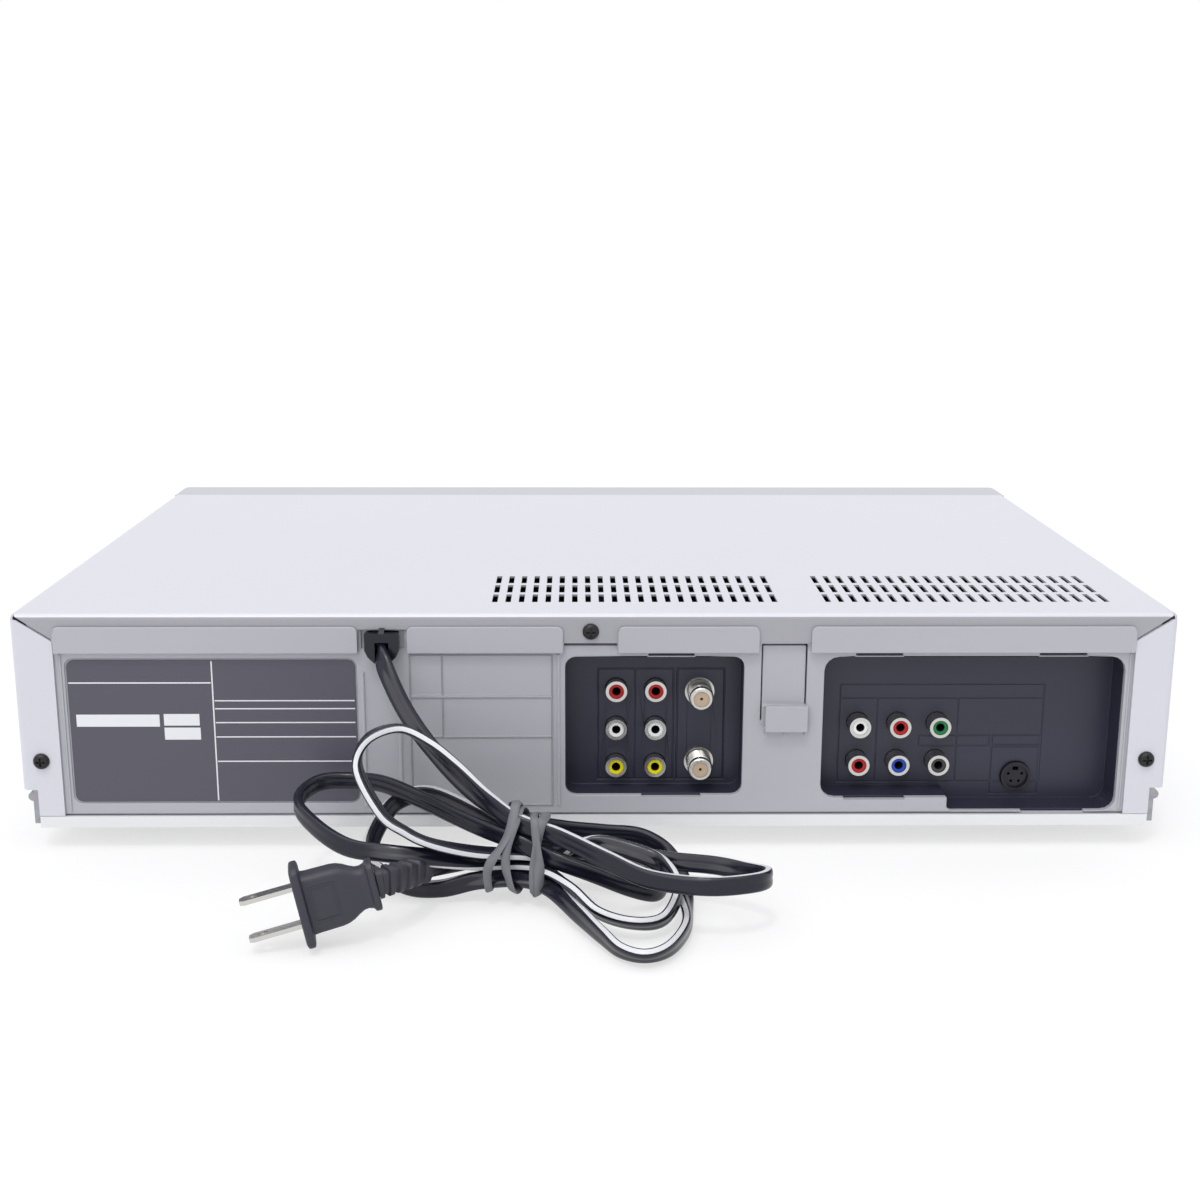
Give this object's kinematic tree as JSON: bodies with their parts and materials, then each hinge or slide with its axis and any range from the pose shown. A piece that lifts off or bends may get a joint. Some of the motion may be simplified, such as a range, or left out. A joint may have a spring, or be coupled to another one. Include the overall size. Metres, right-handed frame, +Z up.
{
  "type": "disc and tape combo player",
  "caption": "Combination disc and cassette player, seen from behind: silver cover, socket panels, vents, front tray and cassette door, tied mains cord with plug.",
  "frame": {"origin": "centre of the footprint of the case, on the table that the feet stand on", "axes": "+X towards the left of somebody who looks at the rear, +Y to the rear, +Z up; the tray and the cassette door face -Y"},
  "size_m": [0.43, 0.3834, 0.092],
  "materials": {
    "cover_paint": "satin",
    "galvanised_sheet": "satin",
    "grey_plastic": "matte",
    "bezel_plastic": "satin",
    "button_plastic": "satin",
    "dark_plastic": "matte",
    "nickel_plate": "polished",
    "red_plastic": "gloss",
    "white_plastic": "gloss",
    "yellow_plastic": "gloss",
    "video_plastic": "gloss",
    "tan_insulator": "matte",
    "label_film": "matte",
    "black_screw": "satin",
    "foot_plastic": "matte",
    "board_green": "satin",
    "board_brown": "satin",
    "component_black": "satin",
    "smoked_window": "gloss",
    "machined_steel": "polished",
    "machined_aluminium": "polished",
    "capstan_brass": "polished",
    "roller_rubber": "matte",
    "cord_vinyl": "satin",
    "tie_plastic": "satin"
  },
  "bodies": {
    "case": {"top_cover": "cover_paint", "rear_panel": "grey_plastic", "chassis_frame": "galvanised_sheet", "bottom_plate": "galvanised_sheet", "front_bezel": "bezel_plastic", "vcr_jack_panel": "dark_plastic", "dvd_jack_panel": "dark_plastic", "jack_shells": "nickel_plate", "red_inserts": "red_plastic", "white_inserts": "white_plastic", "yellow_inserts": "yellow_plastic", "component_inserts": "video_plastic", "antenna_terminals": "nickel_plate", "antenna_insulators": "tan_insulator", "svideo_socket": "dark_plastic", "rating_plate": "label_film", "case_screws": "black_screw", "feet": "foot_plastic", "main_board": "board_green", "power_board": "board_brown", "power_parts": "component_black", "dvd_board": "board_green", "front_board": "board_green", "tuner_can": "galvanised_sheet", "display_window": "smoked_window", "loader_frame": "dark_plastic", "clamp_bridge": "galvanised_sheet", "deck_plate": "galvanised_sheet", "lower_drum": "machined_aluminium", "cord_gland": "dark_plastic", "power_cord": "cord_vinyl", "plug_body": "cord_vinyl", "plug_prongs": "nickel_plate", "cord_tie": "tie_plastic"},
    "tray": {"disc_tray": "dark_plastic", "tray_front": "bezel_plastic"},
    "loading_gear": {"tray_gear": "white_plastic"},
    "traverse": {"traverse": "machined_steel", "sled_rails": "machined_steel"},
    "turntable": {"turntable": "dark_plastic"},
    "sled": {"pickup_sled": "dark_plastic"},
    "feed_screw": {"feed_screw": "machined_steel"},
    "clamp": {"disc_clamp": "dark_plastic"},
    "carriage": {"carriage_frame": "galvanised_sheet"},
    "basket": {"cassette_basket": "galvanised_sheet"},
    "door": {"cassette_door": "bezel_plastic"},
    "head_drum": {"upper_drum": "machined_aluminium"},
    "capstan": {"capstan": "capstan_brass"},
    "supply_reel": {"supply_reel": "white_plastic"},
    "takeup_reel": {"takeup_reel": "white_plastic"},
    "pinch_arm": {"pinch_arm": "galvanised_sheet"},
    "pinch_roller": {"pinch_roller": "roller_rubber"},
    "power_button": {"power_button": "button_plastic"},
    "open_button": {"open_button": "button_plastic"},
    "eject_button": {"eject_button": "button_plastic"},
    "rewind_button": {"rewind_button": "button_plastic"},
    "play_button": {"play_button": "button_plastic"},
    "stop_button": {"stop_button": "button_plastic"},
    "forward_button": {"forward_button": "button_plastic"}
  },
  "joints": [
    {"name": "tray_slide", "type": "slide", "parent": "case", "child": "tray", "axis": [0, -1, 0], "range_m": [0, 0.14]},
    {"name": "tray_gear_spin", "type": "hinge", "parent": "case", "child": "loading_gear", "pos_m": [-0.166, -0.1, 0.06], "axis": [0, 0, 1], "range_deg": [0, 672]},
    {"name": "traverse_lift", "type": "hinge", "parent": "case", "child": "traverse", "pos_m": [-0.1205, 0.034, 0.053], "axis": [-1, 0, 0], "range_deg": [0, 3.2]},
    {"name": "turntable_spin", "type": "hinge", "parent": "traverse", "child": "turntable", "pos_m": [-0.125, -0.06, 0.06], "axis": [0, 0, 1], "continuous": true},
    {"name": "pickup_slide", "type": "slide", "parent": "traverse", "child": "sled", "axis": [0, 1, 0], "range_m": [0, 0.036]},
    {"name": "feed_screw_spin", "type": "hinge", "parent": "traverse", "child": "feed_screw", "pos_m": [-0.095, 0, 0.057], "axis": [0, 1, 0], "range_deg": [0, 4325]},
    {"name": "clamp_spin", "type": "hinge", "parent": "case", "child": "clamp", "pos_m": [-0.125, -0.06, 0.078], "axis": [0, 0, 1], "continuous": true},
    {"name": "carriage_lower", "type": "slide", "parent": "case", "child": "carriage", "axis": [0, 0, -1], "range_m": [0, 0.018]},
    {"name": "basket_in", "type": "slide", "parent": "carriage", "child": "basket", "axis": [0, 1, 0], "range_m": [0, 0.056]},
    {"name": "door_swing", "type": "hinge", "parent": "case", "child": "door", "pos_m": [0.095, -0.1384, 0.0822], "axis": [1, 0, 0], "range_deg": [0, 78], "stiffness_Nm_per_rad": 0.02, "springref_deg": -8.59},
    {"name": "drum_spin", "type": "hinge", "parent": "case", "child": "head_drum", "pos_m": [0.095, 0.056, 0.028], "axis": [0, -0.0872, 0.9962], "continuous": true},
    {"name": "capstan_spin", "type": "hinge", "parent": "case", "child": "capstan", "pos_m": [0.16, 0.03, 0.03], "axis": [0, 0, 1], "continuous": true},
    {"name": "supply_reel_spin", "type": "hinge", "parent": "case", "child": "supply_reel", "pos_m": [0.049, -0.032, 0.036], "axis": [0, 0, 1], "continuous": true},
    {"name": "takeup_reel_spin", "type": "hinge", "parent": "case", "child": "takeup_reel", "pos_m": [0.141, -0.032, 0.036], "axis": [0, 0, 1], "continuous": true},
    {"name": "pinch_arm_swing", "type": "hinge", "parent": "case", "child": "pinch_arm", "pos_m": [0.184, 0.044, 0.052], "axis": [0, 0, 1], "range_deg": [0, 40]},
    {"name": "pinch_roller_spin", "type": "hinge", "parent": "pinch_arm", "child": "pinch_roller", "pos_m": [0.16541, 0.05189, 0.043], "axis": [0, 0, 1], "continuous": true},
    {"name": "power_press", "type": "slide", "parent": "case", "child": "power_button", "axis": [0, 1, 0], "range_m": [0, 0.0008], "stiffness_N_per_m": 600},
    {"name": "open_press", "type": "slide", "parent": "case", "child": "open_button", "axis": [0, 1, 0], "range_m": [0, 0.0008], "stiffness_N_per_m": 600},
    {"name": "eject_press", "type": "slide", "parent": "case", "child": "eject_button", "axis": [0, 1, 0], "range_m": [0, 0.0008], "stiffness_N_per_m": 600},
    {"name": "rewind_press", "type": "slide", "parent": "case", "child": "rewind_button", "axis": [0, 1, 0], "range_m": [0, 0.0008], "stiffness_N_per_m": 600},
    {"name": "play_press", "type": "slide", "parent": "case", "child": "play_button", "axis": [0, 1, 0], "range_m": [0, 0.0008], "stiffness_N_per_m": 600},
    {"name": "stop_press", "type": "slide", "parent": "case", "child": "stop_button", "axis": [0, 1, 0], "range_m": [0, 0.0008], "stiffness_N_per_m": 600},
    {"name": "forward_press", "type": "slide", "parent": "case", "child": "forward_button", "axis": [0, 1, 0], "range_m": [0, 0.0008], "stiffness_N_per_m": 600}
  ],
  "couplings": [
    {"joint": "tray_gear_spin", "follows": "tray_slide", "rad_per_m": 83.333},
    {"joint": "feed_screw_spin", "follows": "pickup_slide", "rad_per_m": 2094.4}
  ]
}
